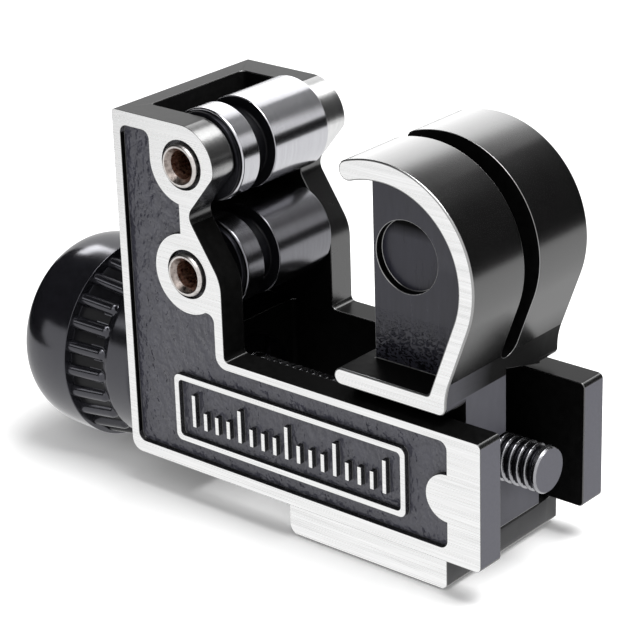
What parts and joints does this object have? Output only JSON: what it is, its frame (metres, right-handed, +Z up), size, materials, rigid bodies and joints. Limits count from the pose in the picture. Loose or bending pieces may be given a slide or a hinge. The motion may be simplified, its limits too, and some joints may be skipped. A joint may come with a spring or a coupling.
{
  "type": "mini tube cutter",
  "caption": "Small hand tool whose screw draws a hooked jaw with a cutting wheel along a U-shaped frame towards two grooved rollers, to cut round tube.",
  "frame": {"origin": "bottom centre of the bounding box: the plane that the flange and the knob stand on, under the middle of the length and of the width", "axes": "+Z up, +X from the knob to the open end of the rails, along the screw; the face with the badge looks towards -Y"},
  "size_m": [0.0882, 0.0306, 0.0589],
  "materials": {
    "black_enamel": "satin black enamel on zinc die casting, front and back faces ground bright",
    "bush_bronze": "turned bronze",
    "washer_steel": "black oxide",
    "rivet_nickel": "nickel plated",
    "roller_chrome": "polished",
    "wheel_steel": "hardened tool steel",
    "screw_steel": "machined",
    "knob_plastic": "satin black moulding",
    "insert_brass": "machined"
  },
  "bodies": {
    "frame": {"frame_body": "black_enamel", "screw_bush": "bush_bronze", "retaining_washer": "washer_steel", "upper_roller_sleeve": "washer_steel", "lower_roller_sleeve": "washer_steel", "upper_roller_rivet": "rivet_nickel", "lower_roller_rivet": "rivet_nickel", "upper_roller_spacer": "washer_steel", "lower_roller_spacer": "washer_steel"},
    "knob": {"feed_screw": "screw_steel", "thrust_washer": "washer_steel", "retaining_ring": "washer_steel", "knob_body": "knob_plastic", "knob_insert": "insert_brass", "knob_lock_washer": "washer_steel", "knob_screw": "washer_steel", "knob_end_cap": "knob_plastic"},
    "slide": {"slide_jaw": "black_enamel", "wheel_axle_screw": "screw_steel"},
    "wheel": {"cutting_wheel": "wheel_steel"},
    "upper_roller": {"upper_roller": "roller_chrome"},
    "lower_roller": {"lower_roller": "roller_chrome"}
  },
  "joints": [
    {"name": "knob_turn", "type": "hinge", "parent": "frame", "child": "knob", "pos_m": [-0.02015, 0, 0.0153], "axis": [1, 0, 0], "range_deg": [-2520, 5040]},
    {"name": "slide_travel", "type": "slide", "parent": "frame", "child": "slide", "axis": [1, 0, 0], "range_m": [-0.01752, 0.00877]},
    {"name": "upper_roller_spin", "type": "hinge", "parent": "frame", "child": "upper_roller", "pos_m": [-0.00735, 0, 0.05185], "axis": [0, 1, 0], "continuous": true},
    {"name": "lower_roller_spin", "type": "hinge", "parent": "frame", "child": "lower_roller", "pos_m": [-0.00735, 0, 0.03585], "axis": [0, 1, 0], "continuous": true},
    {"name": "wheel_spin", "type": "hinge", "parent": "slide", "child": "wheel", "pos_m": [0.02595, 0, 0.04385], "axis": [0, 1, 0], "continuous": true}
  ],
  "couplings": [
    {"joint": "knob_turn", "follows": "slide_travel", "rad_per_m": -5026.5}
  ]
}
